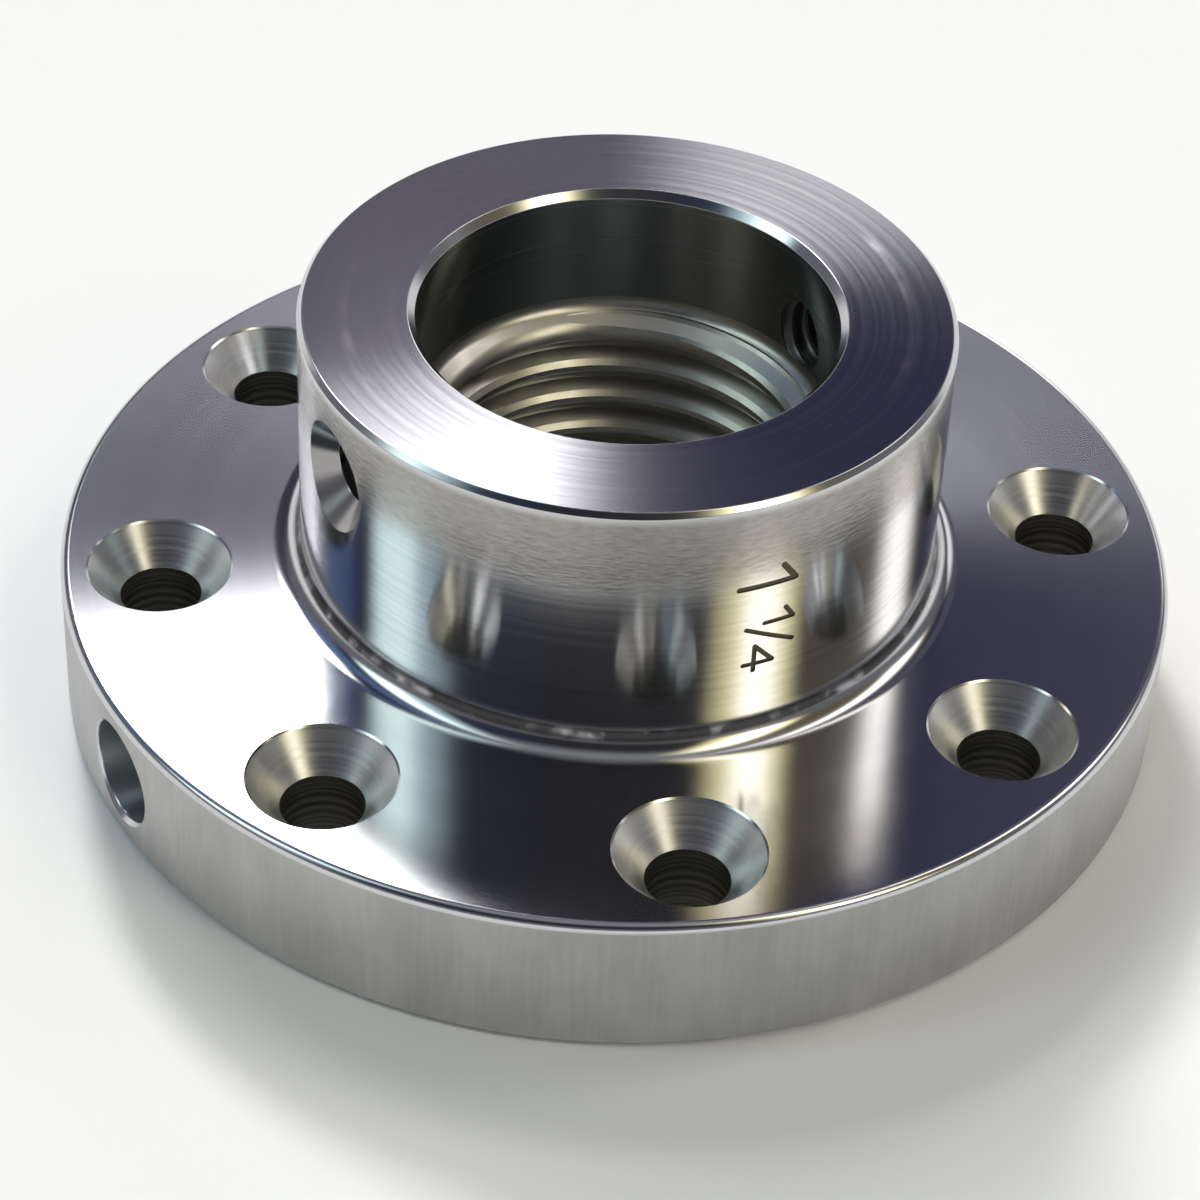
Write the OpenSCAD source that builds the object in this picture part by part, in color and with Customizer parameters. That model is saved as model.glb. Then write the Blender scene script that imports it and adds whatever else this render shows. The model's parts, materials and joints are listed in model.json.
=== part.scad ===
// Lathe faceplate, turned in one piece from stainless steel: a round plate with a hub on its back.
// The origin is the centre of the flat work face. +Z runs along the spindle bore, out of its mouth.
// The spindle thread is right-handed. Its wall is drawn plain, at the diameter of the thread's crests.

/* [Plate] */
// Outside diameter of the plate
plate_d = 88.9; // [84:0.1:120]
// Thickness of the plate
plate_t = 12.3; // [11:0.1:20]
// Radius on the rim, on the hub's side
plate_rim_r = 0.7; // [0.2:0.1:1.2]
// Chamfer round the work face
plate_face_chamfer = 0.5; // [0.2:0.1:1]

/* [Hub] */
// Outside diameter of the hub
hub_d = 50.8; // [44:0.1:54]
// Overall height, from the work face to the hub's end face
total_h = 34.6; // [33:0.1:60]
// Radius between the hub and the plate
hub_fillet_r = 2.2; // [0.5:0.1:3]
// Chamfer on the hub's outer edge
hub_chamfer = 0.4; // [0.2:0.1:1.5]

/* [Spindle bore] */
// Diameter of the smooth register at the bore's mouth
register_d = 32.7; // [32.2:0.1:36]
// Depth of the register, from the hub's end face
register_depth = 10.8; // [9:0.1:14]
// Chamfer at the bore's mouth
mouth_chamfer = 0.6; // [0.2:0.1:1.5]
// Outside diameter of the spindle thread
thread_major_d = 31.75; // [28:0.05:32]
// Pitch of the spindle thread
thread_pitch = 3.175; // [2:0.005:4]
// Full angle of the cone that leads from the register into the thread
lead_angle = 120; // [60:1:140]
// Chamfer beyond the thread's outside diameter, where it meets the work face
face_chamfer = 0.4; // [0.2:0.1:1.5]

/* [Screw holes] */
// Number of screw holes
screw_count = 8; // [3:1:10]
// Diameter of the circle that the screw holes lie on
screw_circle_d = 73.3; // [70:0.1:74]
// Diameter of each screw hole
screw_hole_d = 6.4; // [3:0.1:8]
// Diameter of each countersink, on the hub's side
screw_head_d = 11.5; // [9:0.1:12.5]
// Full angle of the countersinks
countersink_angle = 82; // [75:1:120]
// Direction of the first screw hole, counterclockwise from +X
first_screw_angle = 10; // [0:1:44]

/* [Set screw holes] */
// Height of the two set screw holes above the work face
set_screw_z = 27.2; // [25:0.1:28]
// Direction of the set screw holes, counterclockwise from +X
set_screw_angle = 31; // [0:1:179]
// Tapping diameter of the set screw holes
set_screw_d = 5.1; // [3:0.1:6]
// Diameter of the countersink at each set screw hole
set_screw_mouth_d = 9; // [7:0.1:10]
// Full angle of those countersinks
set_screw_mouth_angle = 90; // [82:1:100]

/* [Tommy bar hole] */
// Diameter of the blind hole in the plate's edge
bar_hole_d = 8.3; // [5:0.1:9]
// Depth of the hole along its wall, from the plate's edge
bar_hole_depth = 13; // [8:0.5:14]
// Direction of the hole, counterclockwise from +X
bar_hole_angle = 213; // [205:1:220]

/* [Hidden] */

steel = [0.78, 0.78, 0.80];
$fn = 96;
// what a cut runs past the surface that it opens through
over = 1;
// full angle of the drill point that ends a blind hole
drill_point_angle = 118;

plate_r = plate_d / 2;
hub_r = hub_d / 2;
register_r = register_d / 2;
thread_major_r = thread_major_d / 2;
// a 60 degree thread is as deep as five eighths of the full triangle on its pitch
thread_flank = 30;
thread_depth = thread_pitch * cos(thread_flank) * 5 / 8;
thread_minor_r = thread_major_r - thread_depth;
register_floor_z = total_h - register_depth;

// Half section of the plate and the hub before they are bored, with the axis on the left
module blank_outline() {
    difference() {
        union() {
            polygon([
                [0, 0],
                [plate_r - plate_face_chamfer, 0],
                [plate_r, plate_face_chamfer],
                [plate_r, plate_t - plate_rim_r],
                [plate_r - plate_rim_r, plate_t],
                [0, plate_t]
            ]);
            translate([plate_r - plate_rim_r, plate_t - plate_rim_r]) circle(plate_rim_r);
            polygon([
                [0, plate_t / 2],
                [hub_r, plate_t / 2],
                [hub_r, total_h - hub_chamfer],
                [hub_r - hub_chamfer, total_h],
                [0, total_h]
            ]);
            translate([hub_r - over, plate_t - over]) square(hub_fillet_r + over);
        }
        translate([hub_r + hub_fillet_r, plate_t + hub_fillet_r]) circle(hub_fillet_r);
    }
}

// Half section of the spindle bore, from its mouth: chamfer, register, lead-in cone, crest wall, chamfer
module bore_outline() {
    lead_h = (register_r - thread_minor_r) / tan(lead_angle / 2);
    face_h = thread_major_r + face_chamfer - thread_minor_r;
    polygon([
        [0, -over],
        [thread_minor_r + face_h + over, -over],
        [thread_minor_r, face_h],
        [thread_minor_r, register_floor_z - lead_h],
        [register_r, register_floor_z],
        [register_r, total_h - mouth_chamfer],
        [register_r + mouth_chamfer + over, total_h + over],
        [0, total_h + over]
    ]);
}

// Screw hole with its countersink, opening at the plate's face on the hub's side
module screw_hole() {
    sink_h = (screw_head_d - screw_hole_d) / 2 / tan(countersink_angle / 2);
    rise = over * tan(countersink_angle / 2);
    translate([0, 0, -over]) cylinder(d = screw_hole_d, h = plate_t + 2 * over);
    translate([0, 0, plate_t - sink_h])
        cylinder(d1 = screw_hole_d, d2 = screw_head_d + 2 * rise, h = sink_h + over);
}

// Set screw hole along +X from the axis, with its countersink in the hub's outside
module set_screw_hole() {
    slope = tan(set_screw_mouth_angle / 2);
    sink_h = (set_screw_mouth_d - set_screw_d) / 2 / slope;
    rotate([0, 90, 0]) cylinder(d = set_screw_d, h = hub_r + over);
    translate([hub_r - sink_h, 0, 0]) rotate([0, 90, 0])
        cylinder(d1 = set_screw_d, d2 = set_screw_mouth_d + 2 * over * slope, h = sink_h + over);
}

// Blind hole along +X into the plate's edge, with the cone that a drill leaves at its end
module bar_hole() {
    point_h = bar_hole_d / 2 / tan(drill_point_angle / 2);
    translate([plate_r - bar_hole_depth, 0, 0]) rotate([0, 90, 0]) {
        cylinder(d = bar_hole_d, h = bar_hole_depth + over);
        translate([0, 0, -point_h]) cylinder(d1 = 0, d2 = bar_hole_d, h = point_h);
    }
}

module faceplate() {
    color(steel) difference() {
        rotate_extrude() blank_outline();
        rotate_extrude() bore_outline();
        for (i = [0 : screw_count - 1])
            rotate([0, 0, first_screw_angle + i * 360 / screw_count])
                translate([screw_circle_d / 2, 0, 0]) screw_hole();
        for (side = [0, 180])
            rotate([0, 0, set_screw_angle + side]) translate([0, 0, set_screw_z]) set_screw_hole();
        rotate([0, 0, bar_hole_angle]) translate([0, 0, plate_t / 2]) bar_hole();
    }
}

faceplate();
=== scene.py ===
"""Looks of the lathe faceplate: a finely turned steel mesh in place of the CAD solid, on a pale floor."""

import json
import math

import bmesh
import bpy
import numpy as np
from mathutils import Matrix, Vector


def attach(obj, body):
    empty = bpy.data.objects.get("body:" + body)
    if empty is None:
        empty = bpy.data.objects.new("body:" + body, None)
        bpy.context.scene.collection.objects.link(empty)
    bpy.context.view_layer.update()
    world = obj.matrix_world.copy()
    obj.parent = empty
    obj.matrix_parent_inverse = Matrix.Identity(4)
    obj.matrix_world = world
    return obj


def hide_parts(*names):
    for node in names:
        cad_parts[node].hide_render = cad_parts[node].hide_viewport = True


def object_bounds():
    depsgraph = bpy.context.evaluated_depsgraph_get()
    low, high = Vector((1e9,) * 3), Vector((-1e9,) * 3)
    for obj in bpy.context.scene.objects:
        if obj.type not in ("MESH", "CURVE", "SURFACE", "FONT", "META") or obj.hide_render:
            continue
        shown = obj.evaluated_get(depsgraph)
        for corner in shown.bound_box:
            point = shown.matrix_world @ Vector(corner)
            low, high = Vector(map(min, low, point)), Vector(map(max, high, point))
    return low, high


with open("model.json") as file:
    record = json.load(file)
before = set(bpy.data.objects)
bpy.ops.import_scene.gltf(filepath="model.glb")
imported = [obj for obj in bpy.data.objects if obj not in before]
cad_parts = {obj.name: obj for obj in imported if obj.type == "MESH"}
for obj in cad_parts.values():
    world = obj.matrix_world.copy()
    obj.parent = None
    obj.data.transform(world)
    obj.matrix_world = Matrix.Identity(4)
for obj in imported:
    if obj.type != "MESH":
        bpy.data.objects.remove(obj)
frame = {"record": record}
cad_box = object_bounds()

MM = 0.001
TURN = 2 * math.pi

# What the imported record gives: each mount's dimensions in mm, and its place in metres
mounts = {mount["name"]: mount for mount in frame["record"]["mounts"]}
dims = {name: mount["dims"] for name, mount in mounts.items()}


def height_of(name):
    """Height of a mount's place above the work face, in mm."""
    return round(mounts[name]["pos_m"][2] / MM, 3)


def angle_of(name):
    """Direction of a mount's axis in degrees, counterclockwise from +X."""
    x, y, _ = mounts[name]["axis"]
    return round(math.degrees(math.atan2(y, x)) % 360, 2)


# Plate and hub, in mm like all sizes up to the finished mesh
PLATE_R = round(cad_box[1][0] / MM, 3)
TOTAL_H = round(cad_box[1][2] / MM, 3)
PLATE_T = 12.3
RIM_R = 0.7
FACE_CHAMFER = 0.5
HUB_R = 25.4
HUB_FILLET_R = 2.2
HUB_CHAMFER = 0.4
HUB_BREAK = 0.15

# Spindle bore: a smooth register at the mouth, then a lead-in cone and the thread. Angles are in degrees.
REGISTER_R = dims["spindle_register"]["r_mm"]
REGISTER_Z = round(height_of("spindle_register") - dims["spindle_register"]["length_mm"] / 2, 3)
MOUTH_CHAMFER = 0.6
BORE_CHAMFER = 0.4
THREAD_R = 15.875
PITCH = 3.175
THREAD_START = 299
FLANK_HALF_ANGLE = 30
THREAD_SLOPE = math.tan(math.radians(FLANK_HALF_ANGLE))
CREST_R = THREAD_R - PITCH * math.cos(math.radians(FLANK_HALF_ANGLE)) * 5 / 8
LEAD_HALF_ANGLE = 60
LEAD_H = (REGISTER_R - CREST_R) / math.tan(math.radians(LEAD_HALF_ANGLE))
LEAD_TOP_R = 1.2
LEAD_FOOT_R = 2.0

# Screw holes in the plate, countersunk on the hub's side
SCREWS = dims["screw_holes"]["count"]
SCREW_CIRCLE_R = dims["screw_holes"]["pcd_mm"] / 2
SCREW_R = dims["screw_holes"]["hole_r_mm"]
SINK_R = 5.75
SINK_HALF_ANGLE = 41
FIRST_SCREW = 10
SCREW_BREAK = 0.3

# Set screw holes through the hub's wall
SET_Z = height_of("set_screw_rear")
SET_ANGLE = angle_of("set_screw_rear")
SET_R = dims["set_screw_rear"]["r_mm"]
SET_MOUTH_R = 4.5
SET_THREAD_R = 3.175
SET_PITCH = 1.27
TAP_START = 40
TAP_FOOT_R = CREST_R - 3

# Blind tommy bar hole in the plate's edge
BAR_ANGLE = angle_of("tommy_bar_hole")
BAR_R = dims["tommy_bar_hole"]["r_mm"]
BAR_DEPTH = dims["tommy_bar_hole"]["length_mm"]
BAR_BREAK = 0.35
BAR_ROUND_R = 0.2
DRILL_HALF_ANGLE = 59

# The size mark on the hub: where its first stroke stands, and its depth
MARK_ANGLE = -69.1
MARK_Z = 26.85
MARK_DEPTH = 0.1

# Sizes of the broken edges, and how far a cutter stands out of the part
EDGE_BREAK = 0.12
SMALL_BREAK = 0.1
OVER = 1.0

# How fine the mesh is: steps round a full turn
BODY_STEPS, THREAD_STEPS, HOLE_STEPS, TAP_STEPS = 360, 96, 96, 40
# Steps per radian of a rounded corner, above this radius and below it
LARGE_R, LARGE_STEPS, SMALL_STEPS = 1, 14, 6
# Steps along an engraved stroke: a quarter of its round end, and its length
CAP_STEPS, LINE_STEPS = 5, 8
TINY = 1e-9

# In the order of the mesh's material slots
LOOKS = ["face", "wall", "rim", "edge", "bore", "thread", "sink", "cone", "satin", "tap", "hole", "mark"]


# Mesh tools

class Surfaces:
    """Numbers each surface of the part, and keeps what gives its exact normals and its look."""

    def __init__(self):
        self.rows = []

    def add(self, look, kind, place=None, data=None):
        self.rows.append((look, kind, place or Matrix.Identity(4), data))
        return len(self.rows) - 1


surfaces = Surfaces()


def rounded(corners, closed):
    """Lines and arcs through corners (r, z, radius, look of the line that leaves the corner).
    Returns a list of (points, kind, data, look)."""
    n = len(corners)
    ends, arcs = {}, {}
    for i, (r, z, radius, _) in enumerate(corners):
        here = np.array([r, z])
        if radius == 0 or (not closed and i in (0, n - 1)):
            ends[i] = (here, here)
            continue
        a = np.array(corners[i - 1][:2]) - here
        b = np.array(corners[(i + 1) % n][:2]) - here
        a, b = a / np.linalg.norm(a), b / np.linalg.norm(b)
        half = math.acos(np.clip(a @ b, -1, 1)) / 2
        reach = radius / math.tan(half)
        centre = here + (a + b) / np.linalg.norm(a + b) * radius / math.sin(half)
        start, stop = here + a * reach, here + b * reach
        turn = math.pi - 2 * half
        steps = max(3, round(turn * (LARGE_STEPS if radius > LARGE_R else SMALL_STEPS)))
        t0 = math.atan2(*(start - centre)[::-1])
        t1 = math.atan2(*(stop - centre)[::-1])
        t1 = t0 + (t1 - t0 + math.pi) % TURN - math.pi
        angles = [t0 + (t1 - t0) * k / steps for k in range(steps + 1)]
        arcs[i] = ([centre + radius * np.array([math.cos(t), math.sin(t)]) for t in angles], centre)
        ends[i] = (start, stop)
    parts = []
    for i, (_, _, radius, look) in enumerate(corners):
        if i in arcs:
            before = corners[i - 1][3]
            kept = look if radius > LARGE_R or look == before else "rim"
            parts.append((arcs[i][0], "arc", arcs[i][1], kept))
        if i + 1 < n or closed:
            j = (i + 1) % n
            p, q = ends[i][1], ends[j][0]
            if np.linalg.norm(q - p) > TINY:
                d = (q - p) / np.linalg.norm(q - p)
                parts.append(([p, q], "line", np.array([d[1], -d[0]]), look))
    return parts


def new_object(name, verts, faces, tags):
    mesh = bpy.data.meshes.new(name)
    mesh.from_pydata([tuple(v) for v in verts], [], faces)
    mesh.attributes.new("surface", "INT", "FACE").data.foreach_set("value", tags)
    mesh.validate()
    mesh.update()
    made = bpy.data.objects.new(name, mesh)
    bpy.context.scene.collection.objects.link(made)
    return made


def turned(name, corners, steps, place=None, closed=False):
    """Closed mesh turned about the Z axis of place. An open outline starts and ends on the axis."""
    place = place or Matrix.Identity(4)
    parts = rounded(corners, closed)
    verts, faces, tags, rings = [], [], [], []

    def ring(p):
        if rings and np.linalg.norm(rings[-1][0] - p) < TINY:
            return rings[-1][1]
        if closed and rings and np.linalg.norm(rings[0][0] - p) < TINY:
            return rings[0][1]
        base = len(verts)
        if p[0] < TINY:
            verts.append(place @ Vector((0, 0, p[1])))
            found = [base]
        else:
            turns = [TURN * k / steps for k in range(steps)]
            verts.extend(place @ Vector((p[0] * math.cos(a), p[0] * math.sin(a), p[1])) for a in turns)
            found = list(range(base, base + steps))
        rings.append((p, found))
        return found

    for points, kind, data, look in parts:
        tag = surfaces.add(look, kind, place, data)
        for p, q in zip(points, points[1:]):
            a, b = ring(p), ring(q)
            for k in range(steps):
                m = (k + 1) % steps
                quad = [a[k % len(a)], a[m % len(a)], b[m % len(b)], b[k % len(b)]]
                quad = [v for n, v in enumerate(quad) if v not in quad[:n]]
                faces.append(quad)
                tags.append(tag)
    return new_object(name, verts, faces, tags)


def thread_cutter(name, place, crest_r, root_r, pitch, start_angle, z0, z1, steps, look):
    """Closed helical groove of a right-handed 60 degree thread, with broken crests."""
    crest_w, root_w, soft = pitch / 4, pitch / 8, pitch * 0.08
    inward = 0.12 * pitch
    mouth = (pitch - crest_w) / 2
    flank_r = crest_r + soft / THREAD_SLOPE
    flank_z = mouth - soft
    outline = [
        (crest_r - inward, -mouth - soft - inward * 0.5),
        (crest_r, -mouth - soft * 0.6),
        (flank_r, -flank_z),
        (root_r - soft, -root_w / 2 - soft * THREAD_SLOPE),
        (root_r, -root_w / 4),
        (root_r, root_w / 4),
        (root_r - soft, root_w / 2 + soft * THREAD_SLOPE),
        (flank_r, flank_z),
        (crest_r, mouth + soft * 0.6),
        (crest_r - inward, mouth + soft + inward * 0.5),
    ]
    n = len(outline)
    sides = []
    for k in range(n):
        (r0, h0), (r1, h1) = outline[k], outline[(k + 1) % n]
        slope = None if abs(r1 - r0) < TINY else (h1 - h0) / (r1 - r0)
        sides.append(surfaces.add(look, "helix", place, (slope, pitch)))
    cap = surfaces.add(look, "plain")
    count = math.ceil((z1 - z0) / pitch * steps)
    verts, faces, tags = [], [], []
    for i in range(count + 1):
        a = math.radians(start_angle) + TURN * i / steps
        z = z0 + pitch * i / steps
        verts.extend(place @ Vector((r * math.cos(a), r * math.sin(a), z + h)) for r, h in outline)
    for i in range(count):
        for k in range(n):
            a, b = n * i + k, n * i + (k + 1) % n
            faces.append([a, b, b + n, a + n])
            tags.append(sides[k])
    faces += [list(range(n))[::-1], list(range(n * count, n * count + n))]
    tags += [cap, cap]
    return new_object(name, verts, faces, tags)


def engraved(name, start, end, width, depth):
    """Round-ended stroke as a prism through the hub's wall. Points are (across, up) in the mark's frame,
    where up runs round the hub and across runs down it."""
    start, end = np.array(start), np.array(end)
    length = np.linalg.norm(end - start)
    along = (end - start) / length
    side = np.array([-along[1], along[0]])
    half_w = width / 2
    angles = np.radians(90 * np.arange(1, CAP_STEPS + 1) / CAP_STEPS)
    cap = [(-math.cos(a), math.sin(a)) for a in angles]
    stations = [(c * half_w, s * half_w) for c, s in cap]
    stations += [(length * k / LINE_STEPS, half_w) for k in range(1, LINE_STEPS)]
    stations += [(length - c * half_w, s * half_w) for c, s in cap[::-1]]
    outer, inner = HUB_R + OVER / 2, HUB_R - depth
    verts, faces = [], []
    for t, half in stations:
        for sign, r in ((-1, outer), (1, outer), (1, inner), (-1, inner)):
            across, up = start + along * t + side * half * sign
            a = math.radians(MARK_ANGLE) + up / HUB_R
            verts.append((r * math.cos(a), r * math.sin(a), MARK_Z - across))
    for base in range(0, 4 * (len(stations) - 1), 4):
        for k in range(4):
            m = (k + 1) % 4
            faces.append([base + k, base + m, base + 4 + m, base + 4 + k])
    last = 4 * (len(stations) - 1)
    faces += [[0, 3, 2, 1], [last, last + 1, last + 2, last + 3]]
    return new_object(name, verts, faces, [surfaces.add("mark", "plain")] * len(faces))


def fix_normals(made):
    """Turns all faces of a closed mesh outwards."""
    bm = bmesh.new()
    bm.from_mesh(made.data)
    bmesh.ops.recalc_face_normals(bm, faces=bm.faces)
    bm.to_mesh(made.data)
    bm.free()


def about_z(angle):
    return Matrix.Rotation(math.radians(angle), 4, "Z")


# The part: a turned body, less the threads, the holes and the size mark

FACE_H = THREAD_R + BORE_CHAMFER - CREST_R
body_outline = [
    (CREST_R, FACE_H, SMALL_BREAK, "thread"),
    (CREST_R + FACE_H, 0, SMALL_BREAK, "face"),
    (PLATE_R - FACE_CHAMFER, 0, SMALL_BREAK, "rim"),
    (PLATE_R, FACE_CHAMFER, SMALL_BREAK, "edge"),
    (PLATE_R, PLATE_T, RIM_R, "face"),
    (HUB_R, PLATE_T, HUB_FILLET_R, "wall"),
    (HUB_R, TOTAL_H - HUB_CHAMFER, HUB_BREAK, "rim"),
    (HUB_R - HUB_CHAMFER, TOTAL_H, HUB_BREAK, "face"),
    (REGISTER_R + MOUTH_CHAMFER, TOTAL_H, EDGE_BREAK, "rim"),
    (REGISTER_R, TOTAL_H - MOUTH_CHAMFER, EDGE_BREAK, "bore"),
    (REGISTER_R, REGISTER_Z, LEAD_TOP_R, "thread"),
    (CREST_R, REGISTER_Z - LEAD_H, LEAD_FOOT_R, "thread"),
]
body = turned("body", body_outline, BODY_STEPS, closed=True)

# The spindle thread
cutters = [thread_cutter("thread", Matrix.Identity(4), CREST_R, THREAD_R, PITCH,
                         THREAD_START, -PITCH, REGISTER_Z + PITCH, THREAD_STEPS, "thread")]

# The screw holes
sink_slope = math.tan(math.radians(SINK_HALF_ANGLE))
sink_h = (SINK_R - SCREW_R) / sink_slope
for i in range(SCREWS):
    place = about_z(FIRST_SCREW + i * 360 / SCREWS) @ Matrix.Translation((SCREW_CIRCLE_R, 0, 0))
    cutters.append(turned(f"screw{i}", [
        (0, -OVER, 0, "hole"),
        (SCREW_R + OVER + SCREW_BREAK, -OVER, 0, "hole"),
        (SCREW_R, SCREW_BREAK, SMALL_BREAK, "hole"),
        (SCREW_R, PLATE_T - sink_h, SMALL_BREAK, "sink"),
        (SINK_R - EDGE_BREAK * sink_slope, PLATE_T - EDGE_BREAK, 0, "rim"),
        (SINK_R + EDGE_BREAK / 2, PLATE_T, 0, "rim"),
        (SINK_R + OVER, PLATE_T + OVER, 0, "rim"),
        (0, PLATE_T + OVER, 0, "rim"),
    ], HOLE_STEPS, place))

# The set screw holes, whose threads end below the countersinks
across = Matrix.Rotation(math.radians(90), 4, "Y")
cone_foot = HUB_R - (SET_MOUTH_R - SET_R)
for side in (0, 180):
    place = about_z(SET_ANGLE + side) @ Matrix.Translation((0, 0, SET_Z)) @ across
    cutters.append(turned(f"set{side}", [
        (0, 0, 0, "tap"),
        (SET_R, 0, 0, "tap"),
        (SET_R, cone_foot, SMALL_BREAK, "cone"),
        (SET_MOUTH_R + OVER, HUB_R + OVER, 0, "cone"),
        (0, HUB_R + OVER, 0, "cone"),
    ], HOLE_STEPS, place))
    cutters.append(thread_cutter(f"tap{side}", place, SET_R, SET_THREAD_R, SET_PITCH, TAP_START + side,
                                 TAP_FOOT_R, cone_foot - SET_PITCH / 2, TAP_STEPS, "tap"))

# The tommy bar hole
place = about_z(BAR_ANGLE) @ Matrix.Translation((0, 0, PLATE_T / 2)) @ across
point_h = BAR_R / math.tan(math.radians(DRILL_HALF_ANGLE))
cutters.append(turned("bar", [
    (0, PLATE_R - BAR_DEPTH - point_h, 0, "hole"),
    (BAR_R, PLATE_R - BAR_DEPTH, BAR_ROUND_R, "satin"),
    (BAR_R, PLATE_R - BAR_BREAK, BAR_ROUND_R, "rim"),
    (BAR_R + OVER + BAR_BREAK, PLATE_R + OVER, 0, "rim"),
    (0, PLATE_R + OVER, 0, "rim"),
], HOLE_STEPS, place))

# The spindle size, as plain numbers that read down the hub: 1 1/4. Each stroke has a start, an end and a
# width, and is cut a little deeper than the last, so that no two floors lie in one surface.
BOLD, THIN, DEPTH_STEP = 0.5, 0.4, 0.004
mark_strokes = [
    ((0, 0), (0, 4.6), BOLD),
    ((-1.5, 3.5), (0, 4.6), BOLD),
    ((3.7, 2.25), (3.7, 4.65), THIN),
    ((2.65, 3.95), (3.7, 4.65), THIN),
    ((4.0, 0.8), (5.95, 4.75), THIN),
    ((7.45, 0.75), (7.45, 3.15), THIN),
    ((5.75, 1.6), (8.1, 1.6), THIN),
    ((5.75, 1.6), (7.45, 3.15), THIN),
]
for i, (start, end, width) in enumerate(mark_strokes):
    cutters.append(engraved(f"stroke{i}", start, end, width, MARK_DEPTH + DEPTH_STEP * i))

for made in [body] + cutters:
    fix_normals(made)
for cutter in cutters:
    cut = body.modifiers.new(cutter.name, "BOOLEAN")
    cut.operation, cut.solver, cut.object = "DIFFERENCE", "MANIFOLD", cutter
graph = bpy.context.evaluated_depsgraph_get()
steel_mesh = bpy.data.meshes.new_from_object(body.evaluated_get(graph))
for made in [body] + cutters:
    bpy.data.objects.remove(made)


def whole_numbers(items, name):
    values = np.zeros(len(items), int)
    items.foreach_get(name, values)
    return values


def vectors(items, name):
    values = np.zeros(len(items) * 3)
    items.foreach_get(name, values)
    return values.reshape(-1, 3)


def exact_shading(mesh):
    """Sets exact corner normals, the direction of the turning marks and each face's look."""
    tag = whole_numbers(mesh.attributes["surface"].data, "value")
    co = vectors(mesh.vertices, "co")
    corner_vert = whole_numbers(mesh.loops, "vertex_index")
    starts = whole_numbers(mesh.polygons, "loop_start")
    totals = whole_numbers(mesh.polygons, "loop_total")
    flat = vectors(mesh.polygons, "normal")
    # The face that each corner belongs to, in the order of the corners
    corner_face = np.repeat(np.arange(len(totals)), totals)
    order = np.argsort(np.concatenate([np.arange(s, s + t) for s, t in zip(starts, totals)]))
    corner_face = corner_face[order]
    normals = flat[corner_face].copy()
    groove = np.zeros_like(normals)
    groove[:, 0] = 1
    along = np.zeros(len(corner_vert))
    for i, (_, kind, at, data) in enumerate(surfaces.rows):
        pick = np.nonzero(tag[corner_face] == i)[0]
        if not len(pick):
            continue
        # Each corner as seen in the surface's own axes
        m = np.array(at)
        p = (co[corner_vert[pick]] - m[:3, 3]) @ m[:3, :3]
        r = np.maximum(np.hypot(p[:, 0], p[:, 1]), TINY)
        c, s = p[:, 0] / r, p[:, 1] / r
        along[pick] = p[:, 2]
        round_dir = np.stack([-s, c, 0 * r], 1)
        if kind == "plain":
            continue
        if kind == "helix":
            slope, pitch = data
            if slope is None:
                n = np.stack([c, s, 0 * r], 1)
            else:
                k = pitch / TURN
                n = np.stack([s * k - slope * r * c, -slope * r * s - c * k, r], 1)
        else:
            if kind == "line":
                nr, nz = data[0] + 0 * r, data[1] + 0 * r
            else:
                nr, nz = r - data[0], p[:, 2] - data[1]
            n = np.stack([nr * c, nr * s, nz], 1)
        n /= np.maximum(np.linalg.norm(n, axis=1), TINY)[:, None]
        n = n @ m[:3, :3].T
        sign = np.sign(np.einsum("ij,ij->i", n, normals[pick]))
        normals[pick] = n * np.where(sign == 0, 1, sign)[:, None]
        groove[pick] = round_dir @ m[:3, :3].T
    mesh.polygons.foreach_set("use_smooth", np.ones(len(mesh.polygons), bool))
    mesh.normals_split_custom_set(normals.tolist())
    marks = mesh.attributes.new("groove", "FLOAT_VECTOR", "CORNER")
    marks.data.foreach_set("vector", groove.astype(np.float32).ravel())
    mesh.attributes.new("along", "FLOAT", "CORNER").data.foreach_set("value", along.astype(np.float32))
    looks = np.array([LOOKS.index(row[0]) for row in surfaces.rows])
    mesh.polygons.foreach_set("material_index", looks[tag].astype(np.int32))
    mesh.attributes.remove(mesh.attributes["surface"])


steel_mesh.materials.clear()
exact_shading(steel_mesh)
steel_mesh.transform(Matrix.Scale(MM, 4))
steel_mesh.name = "faceplate_turned"
plate = bpy.data.objects.new("faceplate_turned", steel_mesh)
bpy.context.scene.collection.objects.link(plate)


# Materials

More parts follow.
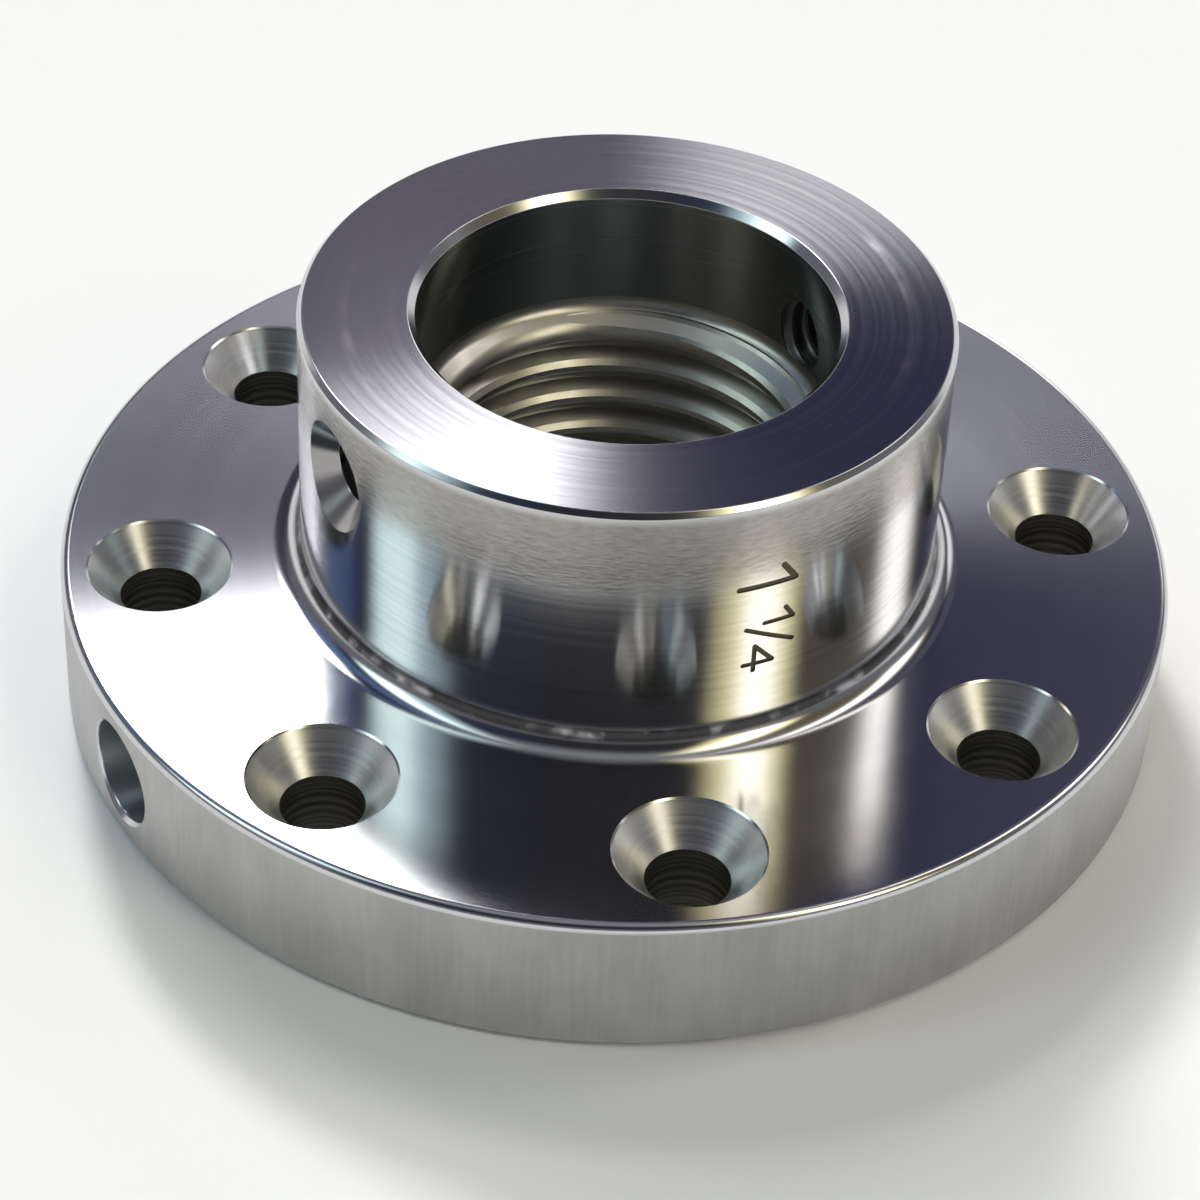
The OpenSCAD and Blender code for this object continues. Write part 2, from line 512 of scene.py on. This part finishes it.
class Nodes:
    """Short calls for building a node tree."""

    def __init__(self, tree):
        self.tree = tree

    def add(self, kind, **values):
        node = self.tree.nodes.new(kind)
        for key, value in values.items():
            setattr(node, key, value)
        return node

    def link(self, source, target):
        self.tree.links.new(source, target)

    def put(self, socket, value):
        if isinstance(value, bpy.types.NodeSocket):
            self.link(value, socket)
        else:
            socket.default_value = value

    def math(self, operation, *values):
        node = self.add("ShaderNodeMath", operation=operation)
        for socket, value in zip(node.inputs, values):
            self.put(socket, value)
        return node.outputs[0]

    def vector(self, operation, *values):
        node = self.add("ShaderNodeVectorMath", operation=operation)
        for socket, value in zip(node.inputs, values):
            self.put(socket, value)
        return node.outputs[0]

    def total(self, first, *rest):
        for value in rest:
            first = self.math("ADD", first, value)
        return first

    def product(self, first, *rest):
        for value in rest:
            first = self.math("MULTIPLY", first, value)
        return first

    def inverse(self, value):
        return self.math("SUBTRACT", 1.0, value)

    def away(self, value, centre):
        return self.math("ABSOLUTE", self.math("SUBTRACT", value, centre))

    def ramp(self, value, low, high, to_low=0.0, to_high=1.0):
        node = self.add("ShaderNodeMapRange", interpolation_type="SMOOTHSTEP")
        for socket, v in zip(node.inputs, (value, low, high, to_low, to_high)):
            self.put(socket, v)
        return node.outputs[0]

    def mix(self, share, a, b):
        """Mixes two colours, whose sockets are inputs 6 and 7 and output 2."""
        node = self.add("ShaderNodeMix", data_type="RGBA")
        self.put(node.inputs[0], share)
        self.put(node.inputs[6], a)
        self.put(node.inputs[7], b)
        return node.outputs[2]

    def noise(self, scale, detail, vector=None, w=None):
        node = self.add("ShaderNodeTexNoise", noise_dimensions="1D" if vector is None else "3D")
        self.put(node.inputs["Scale"], scale)
        node.inputs["Detail"].default_value = detail
        if vector is not None:
            self.link(vector, node.inputs["Vector"])
        if w is not None:
            self.link(w, node.inputs["W"])
        return node.outputs["Fac"]


def steel(name, colour, roughness, anisotropy, build=None, turned_about_z=True):
    """Metal whose highlights spread across its turning marks. These run round the part's own axis or, in a
    crossing hole, as the mesh says. build adds the surface detail. The colour and roughness given here hold
    where it sets none."""
    material = bpy.data.materials.new(name)
    material.use_nodes = True
    tree = material.node_tree
    n = Nodes(tree)
    shader = tree.nodes["Principled BSDF"]
    shader.inputs["Base Color"].default_value = (*colour, 1)
    shader.inputs["Metallic"].default_value = 1
    shader.inputs["Roughness"].default_value = roughness
    shader.inputs["Anisotropic"].default_value = anisotropy
    place = n.add("ShaderNodeTexCoord").outputs["Object"]
    if anisotropy:
        # A quarter turn lays the highlights across the marks
        shader.inputs["Anisotropic Rotation"].default_value = 0.25
        if turned_about_z:
            groove = n.vector("CROSS_PRODUCT", (0, 0, 1), place)
        else:
            groove = n.add("ShaderNodeAttribute", attribute_name="groove").outputs["Vector"]
        n.link(groove, shader.inputs["Tangent"])
    if build:
        build(n, shader, place)
    return material


def bump(n, shader, height, distance):
    node = n.add("ShaderNodeBump")
    node.inputs["Strength"].default_value = 1
    node.inputs["Distance"].default_value = distance
    n.link(height, node.inputs["Height"])
    n.link(node.outputs["Normal"], shader.inputs["Normal"])


def position(n, place):
    split = n.add("ShaderNodeSeparateXYZ")
    n.link(place, split.inputs[0])
    return split.outputs


# Marks of use and of the tool, and the places of painted dark reflection on the hub's wall, in metres:
# heights, radii, and places along X
END_FACE_LOW, END_FACE_Z = 30 * MM, 31 * MM
WORN_RING_R, WORN_HALF_WIDTH = 21.8 * MM, 0.7 * MM
WORN_X_START, WORN_X_FULL = 17 * MM, 20.5 * MM
CHATTER_AND_SHADE_LOW, CHATTER_AND_SHADE_FULL, CHATTER_AND_SHADE_FADE, CHATTER_AND_SHADE_TOP = 26 * MM, 29.5 * MM, 33.4 * MM, 34.2 * MM
PAINTED_LINE_Z, PAINTED_LINE_FULL, PAINTED_LINE_END = 13.7 * MM, 0.3 * MM, 0.6 * MM


def face_detail(n, shader, place):
    """Flat faces, with the fine rings that the tool left."""
    x, y, z = position(n, place)
    radius = n.math("SQRT", n.total(n.product(x, x), n.product(y, y)))
    # The hub's end face shows its turning marks more than the plate does
    end_face = n.ramp(z, END_FACE_LOW, END_FACE_Z)
    marks = n.math("SUBTRACT", n.noise(1900.0, 2.0, w=radius), 0.5)
    marks = n.product(marks, n.math("MULTIPLY_ADD", end_face, 0.7, 0.3))
    broad = n.noise(420.0, 2.0, w=radius)
    cloud = n.noise(60.0, 2.0, vector=place)
    # A faint worn ring on the hub's end face, broken and only on two sides
    ring = n.inverse(n.ramp(n.away(radius, WORN_RING_R), 0.0, WORN_HALF_WIDTH))
    patchy = n.ramp(n.noise(220.0, 4.0, vector=place), 0.35, 0.8)
    sides = n.ramp(n.math("ABSOLUTE", x), WORN_X_START, WORN_X_FULL)
    ring = n.product(ring, end_face, patchy, sides)
    rough = n.total(n.math("MULTIPLY_ADD", marks, 0.035, 0.115), n.product(cloud, 0.02))
    n.link(n.math("MULTIPLY_ADD", ring, 0.06, rough), shader.inputs["Roughness"])
    tone = n.total(n.math("MULTIPLY_ADD", broad, 0.5, 0.25), n.product(marks, 0.7))
    colour = n.mix(tone, (0.52, 0.52, 0.54, 1), (0.64, 0.64, 0.66, 1))
    colour = n.mix(n.product(ring, 0.5), colour, (0.85, 0.80, 0.80, 1))
    n.link(colour, shader.inputs["Base Color"])


def wall_detail(n, shader, place):
    """The hub's wall: fine rings, a chattered band partly darkened as painted reflection, and a painted
    dark line.
    """
    z = position(n, place)[2]
    fine = n.noise(1900.0, 3.0, w=z)
    # A band of chatter marks under the hub's end, rougher and bumped; its darker colour is partly their
    # tint and partly painted dark reflection
    chatter = n.noise(1150.0, 2.0, vector=n.vector("MULTIPLY", place, (1.0, 1.0, 3.0)))
    zone = n.product(n.ramp(z, CHATTER_AND_SHADE_LOW, CHATTER_AND_SHADE_FULL), n.inverse(n.ramp(z, CHATTER_AND_SHADE_FADE, CHATTER_AND_SHADE_TOP)))
    # A spotty line at the top of the fillet, rougher and painted near-black as a dark reflection
    painted_dark_line = n.inverse(n.ramp(n.away(z, PAINTED_LINE_Z), PAINTED_LINE_FULL, PAINTED_LINE_END))
    spots = n.ramp(n.noise(330.0, 3.0, vector=place), 0.50, 0.66)
    painted_dark_line = n.product(painted_dark_line, n.inverse(n.product(spots, 0.6)))
    rough = n.total(0.10, n.product(fine, 0.04), n.product(zone, 0.04), n.product(painted_dark_line, 0.12))
    n.link(rough, shader.inputs["Roughness"])
    bump(n, shader, n.total(n.product(fine, 0.2), n.product(chatter, zone, 3.6)), 0.004 * MM)
    colour = n.mix(fine, (0.50, 0.50, 0.51, 1), (0.66, 0.66, 0.67, 1))
    # Painted dark reflection, mixed with the chatter's own dull tint, darkens the band's colour
    dull_and_painted_dark = n.mix(chatter, (0.26, 0.245, 0.235, 1), (0.47, 0.45, 0.43, 1))
    colour = n.mix(zone, colour, dull_and_painted_dark)
    # Painted dark reflection: the line at the top of the fillet is near-black
    n.link(n.mix(painted_dark_line, colour, (0.08, 0.078, 0.08, 1)), shader.inputs["Base Color"])


def edge_detail(n, shader, place):
    """The plate's satin edge, streaked across its thickness."""
    z = position(n, place)[2]
    streak = n.noise(420.0, 3.0, vector=n.vector("MULTIPLY", place, (5.0, 5.0, 0.35)))
    smudge = n.noise(180.0, 4.0, vector=n.vector("MULTIPLY", place, (1.0, 1.0, 0.6)))
    grain = n.noise(2600.0, 2.0, w=z)
    n.link(n.ramp(streak, 0.25, 0.75, 0.50, 0.58), shader.inputs["Roughness"])
    tone = n.total(n.product(n.ramp(streak, 0.2, 0.8), 0.5), n.product(n.ramp(smudge, 0.3, 0.7), 0.5))
    n.link(n.mix(tone, (0.44, 0.435, 0.43, 1), (0.58, 0.575, 0.565, 1)), shader.inputs["Base Color"])
    bump(n, shader, n.total(n.product(streak, 0.7), n.product(grain, 0.3)), 0.006 * MM)


def bore_detail(n, shader, place):
    """The register, finely ringed."""
    fine = n.noise(2400.0, 3.0, w=position(n, place)[2])
    n.link(n.ramp(fine, 0.2, 0.8, 0.18, 0.28), shader.inputs["Roughness"])
    bump(n, shader, fine, 0.0008 * MM)


def thread_detail(n, shader, place):
    """The spindle thread and its lead-in cone, a little uneven in polish."""
    fine = n.noise(500.0, 2.0, vector=place)
    n.link(n.ramp(fine, 0.2, 0.8, 0.29, 0.40), shader.inputs["Roughness"])


def sink_detail(n, shader, place):
    """The countersinks, ringed about their own axes."""
    along = n.add("ShaderNodeAttribute", attribute_name="along").outputs["Fac"]
    fine = n.noise(4.0, 3.0, w=along)
    n.link(n.ramp(fine, 0.2, 0.8, 0.27, 0.36), shader.inputs["Roughness"])
    n.link(n.mix(fine, (0.55, 0.55, 0.545, 1), (0.72, 0.72, 0.71, 1)), shader.inputs["Base Color"])
    bump(n, shader, fine, 0.002 * MM)


def hole_detail(n, shader, place):
    """The drilled holes, with coarse rings."""
    along = n.add("ShaderNodeAttribute", attribute_name="along").outputs["Fac"]
    rings = n.noise(2.2, 2.0, w=along)
    tone = n.ramp(rings, 0.35, 0.65)
    n.link(n.mix(tone, (0.25, 0.24, 0.22, 1), (0.55, 0.53, 0.50, 1)), shader.inputs["Base Color"])
    bump(n, shader, rings, 0.03 * MM)


materials = {
    "face": steel("turned face", (0.58, 0.58, 0.60), 0.12, 0.93, face_detail),
    "wall": steel("turned hub wall", (0.58, 0.58, 0.59), 0.14, 0.9, wall_detail),
    "rim": steel("polished edge", (0.60, 0.60, 0.62), 0.17, 0.3, turned_about_z=False),
    "edge": steel("satin plate edge", (0.45, 0.45, 0.45), 0.48, 0.0, edge_detail),
    # The bore's steel is darkened: painted shade inside the bore
    "bore": steel("bored steel", (0.22, 0.245, 0.25), 0.19, 0.75, bore_detail),
    "thread": steel("cut thread", (0.49, 0.475, 0.44), 0.36, 0.0, thread_detail),
    "sink": steel("countersink", (0.64, 0.64, 0.63), 0.3, 0.5, sink_detail, False),
    # The set screw countersinks' steel is darkened: painted shade in the mouths of the holes
    "cone": steel("set screw countersink", (0.36, 0.345, 0.345), 0.24, 0.5, turned_about_z=False),
    "satin": steel("reamed hole", (0.50, 0.54, 0.56), 0.36, 0.85, turned_about_z=False),
    # The tapped holes' steel is near-black: painted shade inside the holes
    "tap": steel("tapped hole", (0.17, 0.17, 0.165), 0.36, 0.0),
    "hole": steel("drilled hole", (0.40, 0.39, 0.37), 0.36, 0.0, hole_detail),
    "mark": steel("engraved mark", (0.12, 0.11, 0.08), 0.55, 0.0),
}
for look in LOOKS:
    steel_mesh.materials.append(materials[look])

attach(plate, "root")
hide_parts("faceplate")


# Floor, light and camera

FLOOR_HALF = 6.0
FLOOR_DROP = 0.02 * MM
floor_mesh = bpy.data.meshes.new("floor")
corners = [(x * FLOOR_HALF, y * FLOOR_HALF, 0) for x, y in ((-1, -1), (1, -1), (1, 1), (-1, 1))]
floor_mesh.from_pydata(corners, [], [(0, 1, 2, 3)])
floor = bpy.data.objects.new("floor", floor_mesh)
floor.location.z = -FLOOR_DROP
bpy.context.scene.collection.objects.link(floor)
floor_material = bpy.data.materials.new("pale floor")
floor_material.use_nodes = True
floor_shader = floor_material.node_tree.nodes["Principled BSDF"]
floor_shader.inputs["Base Color"].default_value = (0.92, 0.92, 0.92, 1)
floor_shader.inputs["Roughness"].default_value = 0.9
floor_shader.inputs["Specular IOR Level"].default_value = 0.1
floor_mesh.materials.append(floor_material)

# Colours of the soft boxes and of the gaps between them
DARK, NAVY, UMBER = (0.025, 0.024, 0.03), (0.02, 0.032, 0.06), (0.15, 0.125, 0.09)
PURPLE, VIOLET, LILAC = (0.022, 0.022, 0.065), (0.34, 0.31, 0.38), (0.10, 0.10, 0.15)
BLUE, CYAN, PALE_CYAN = (0.10, 0.17, 0.38), (0.9, 1.15, 1.25), (2.1, 2.6, 2.5)
YELLOW, CREAM, WHITE = (2.0, 1.8, 0.95), (4.2, 4.0, 3.3), (3.4, 3.3, 3.1)

# The ring of soft boxes as seen from the part, in turn round it: direction in degrees, colour
ROUND = [
    (-180, PALE_CYAN), (-169, PALE_CYAN), (-163, CYAN), (-146, NAVY), (-125, NAVY), (-112, DARK),
    (-57, DARK), (-46, YELLOW), (-39, CREAM), (-31, CREAM), (-24, YELLOW), (-18, UMBER),
    (15, UMBER), (25, WHITE), (34, WHITE), (43, UMBER), (53, PURPLE), (62, LILAC), (77, LILAC),
    (83, PURPLE), (88, PURPLE), (91, VIOLET), (95, VIOLET), (98, PURPLE), (135, PURPLE),
    (145, BLUE), (158, BLUE), (165, NAVY), (171, NAVY), (177, PALE_CYAN), (180, PALE_CYAN),
]
# The ring starts at this elevation, give or take the softness of its edge, and fades into the ceiling
BAND_LOW, BAND_SOFT, FADE_START, FADE_END = 33.5, 2.5, 54, 82

# Single boxes: azimuth, half width, lean of the sides, lowest, highest, strength
KEY = (109, 18.5, 0.4, 40.0, 50, 13.0)
LOW_BOX = (81, 7.5, 0.0, 10, 28.5, 4.2)
SIDE_BOX = (63, 9, 0.0, 20, 31, 1.3)
# How far a box's edges fade, in degrees: at its sides, at its head, and below and above its foot
SIDE_FADE, HEAD_FADE, BELOW_FOOT, ABOVE_FOOT = 2, 3, 0.8, 3.2

# The room below the ring, darker at its far wall, and the pale backdrop at the horizon
HORIZON, HORIZON_TOP, HORIZON_END = (0.97, 0.97, 0.97, 1), 9, 15
ROOM, FAR_WALL, CEILING = (0.17, 0.17, 0.19, 1), (0.04, 0.04, 0.06, 1), (0.28, 0.29, 0.31, 1)
FAR_AZIMUTH, FAR_WIDTH, FAR_END = 90, 32, 50

SUN_AZIMUTH, SUN_ELEVATION, SUN_SIZE, SUN_STRENGTH = 105, 34, 10, 2.0


def box_mask(n, azimuth, elevation, box):
    """How much of a soft box shows in each direction, from 0 to 1."""
    centre, half_width, lean, lowest, highest, _ = box
    middle = n.math("MULTIPLY_ADD", elevation, lean, centre - lean * lowest)
    sides = n.inverse(n.ramp(n.away(azimuth, middle), half_width - SIDE_FADE, half_width + SIDE_FADE))
    foot = n.ramp(elevation, lowest - BELOW_FOOT, lowest + ABOVE_FOOT)
    head = n.inverse(n.ramp(elevation, highest - HEAD_FADE, highest + HEAD_FADE))
    return n.product(sides, foot, head)


def studio():
    world = bpy.data.worlds.new("studio")
    bpy.context.scene.world = world
    world.use_nodes = True
    n = Nodes(world.node_tree)
    background = world.node_tree.nodes["Background"]
    x, y, z = position(n, n.add("ShaderNodeTexCoord").outputs["Generated"])
    elevation = n.product(n.math("ARCSINE", z), 180 / math.pi)
    azimuth = n.product(n.math("ARCTAN2", y, x), 180 / math.pi)
    ring = n.add("ShaderNodeValToRGB")
    n.link(n.math("MULTIPLY_ADD", azimuth, 1 / 360, 0.5), ring.inputs[0])
    stops = ring.color_ramp.elements
    for i, (angle, colour) in enumerate(ROUND):
        at = angle / 360 + 0.5
        stop = stops[0] if i == 0 else stops[-1] if i == len(ROUND) - 1 else stops.new(at)
        stop.position, stop.color = at, (*colour, 1)
    room = n.mix(n.ramp(n.away(azimuth, FAR_AZIMUTH), FAR_WIDTH, FAR_END), FAR_WALL, ROOM)
    # The pale backdrop is what the camera and the steel see, and it adds no light to the floor
    path = n.add("ShaderNodeLightPath").outputs
    seen = n.math("MAXIMUM", path["Is Camera Ray"], path["Is Glossy Ray"])
    seen = n.math("MAXIMUM", seen, path["Is Transmission Ray"])
    backdrop = n.product(seen, n.inverse(n.ramp(elevation, HORIZON_TOP, HORIZON_END)))
    low = n.mix(backdrop, room, HORIZON)
    up = n.ramp(elevation, BAND_LOW - BAND_SOFT, BAND_LOW + BAND_SOFT)
    colour = n.mix(n.ramp(elevation, FADE_START, FADE_END), n.mix(up, low, ring.outputs[0]), CEILING)
    for box in (KEY, LOW_BOX, SIDE_BOX):
        strength = box[-1]
        colour = n.mix(box_mask(n, azimuth, elevation, box), colour, (strength, strength, strength, 1))
    n.link(colour, background.inputs["Color"])
    background.inputs["Strength"].default_value = 1


studio()

# A broad lamp for the floor, which the steel doesn't mirror: the soft boxes are what it shows
sun = bpy.data.lights.new("floor lamp", "SUN")
sun.energy, sun.angle = SUN_STRENGTH, math.radians(SUN_SIZE)
lamp = bpy.data.objects.new("floor_lamp", sun)
azimuth, elevation = math.radians(SUN_AZIMUTH), math.radians(SUN_ELEVATION)
flat = math.cos(elevation)
to_sun = Vector((flat * math.cos(azimuth), flat * math.sin(azimuth), math.sin(elevation)))
lamp.rotation_euler = to_sun.to_track_quat("Z", "Y").to_euler()
lamp.visible_glossy = False
bpy.context.scene.collection.objects.link(lamp)

# The camera stands where the photograph was taken from
VIEW_ELEVATION, VIEW_DISTANCE, VIEW_CENTRE_Z = math.radians(38.71), 287.714 * MM, 12.2 * MM
VIEW_ROLL, VIEW_YAW, VIEW_PITCH, VIEW_TURN = (math.radians(a) for a in (3.04, 0.21, -1.01, -0.31))
FOCAL_PIXELS, IMAGE_PIXELS, SENSOR = 3565.94, 1200, 36.0


def photo_camera():
    e = VIEW_ELEVATION
    back = np.array([0, -math.cos(e), math.sin(e)])
    base = np.array([[1, 0, 0], [0, math.sin(e), math.cos(e)], back])
    cy, sy = math.cos(VIEW_YAW), math.sin(VIEW_YAW)
    cp, sp = math.cos(VIEW_PITCH), math.sin(VIEW_PITCH)
    cr, sr = math.cos(VIEW_ROLL), math.sin(VIEW_ROLL)
    yaw = np.array([[cy, 0, -sy], [0, 1, 0], [sy, 0, cy]])
    pitch = np.array([[1, 0, 0], [0, cp, sp], [0, -sp, cp]])
    roll = np.array([[cr, sr, 0], [-sr, cr, 0], [0, 0, 1]])
    axes = roll @ pitch @ yaw @ base
    matrix = Matrix.Identity(4)
    for i in range(3):
        for k in range(3):
            matrix[k][i] = axes[i][k]
        matrix[i][3] = back[i] * VIEW_DISTANCE
    matrix[2][3] += VIEW_CENTRE_Z
    data = bpy.data.cameras.new("camera")
    data.sensor_width = SENSOR
    data.lens = FOCAL_PIXELS * SENSOR / IMAGE_PIXELS
    data.clip_start, data.clip_end = 0.01, 50
    camera = bpy.data.objects.new("camera", data)
    camera.matrix_world = Matrix.Rotation(VIEW_TURN, 4, "Z") @ matrix
    bpy.context.scene.collection.objects.link(camera)
    bpy.context.scene.camera = camera


photo_camera()
bpy.context.scene.view_settings.view_transform = "Standard"
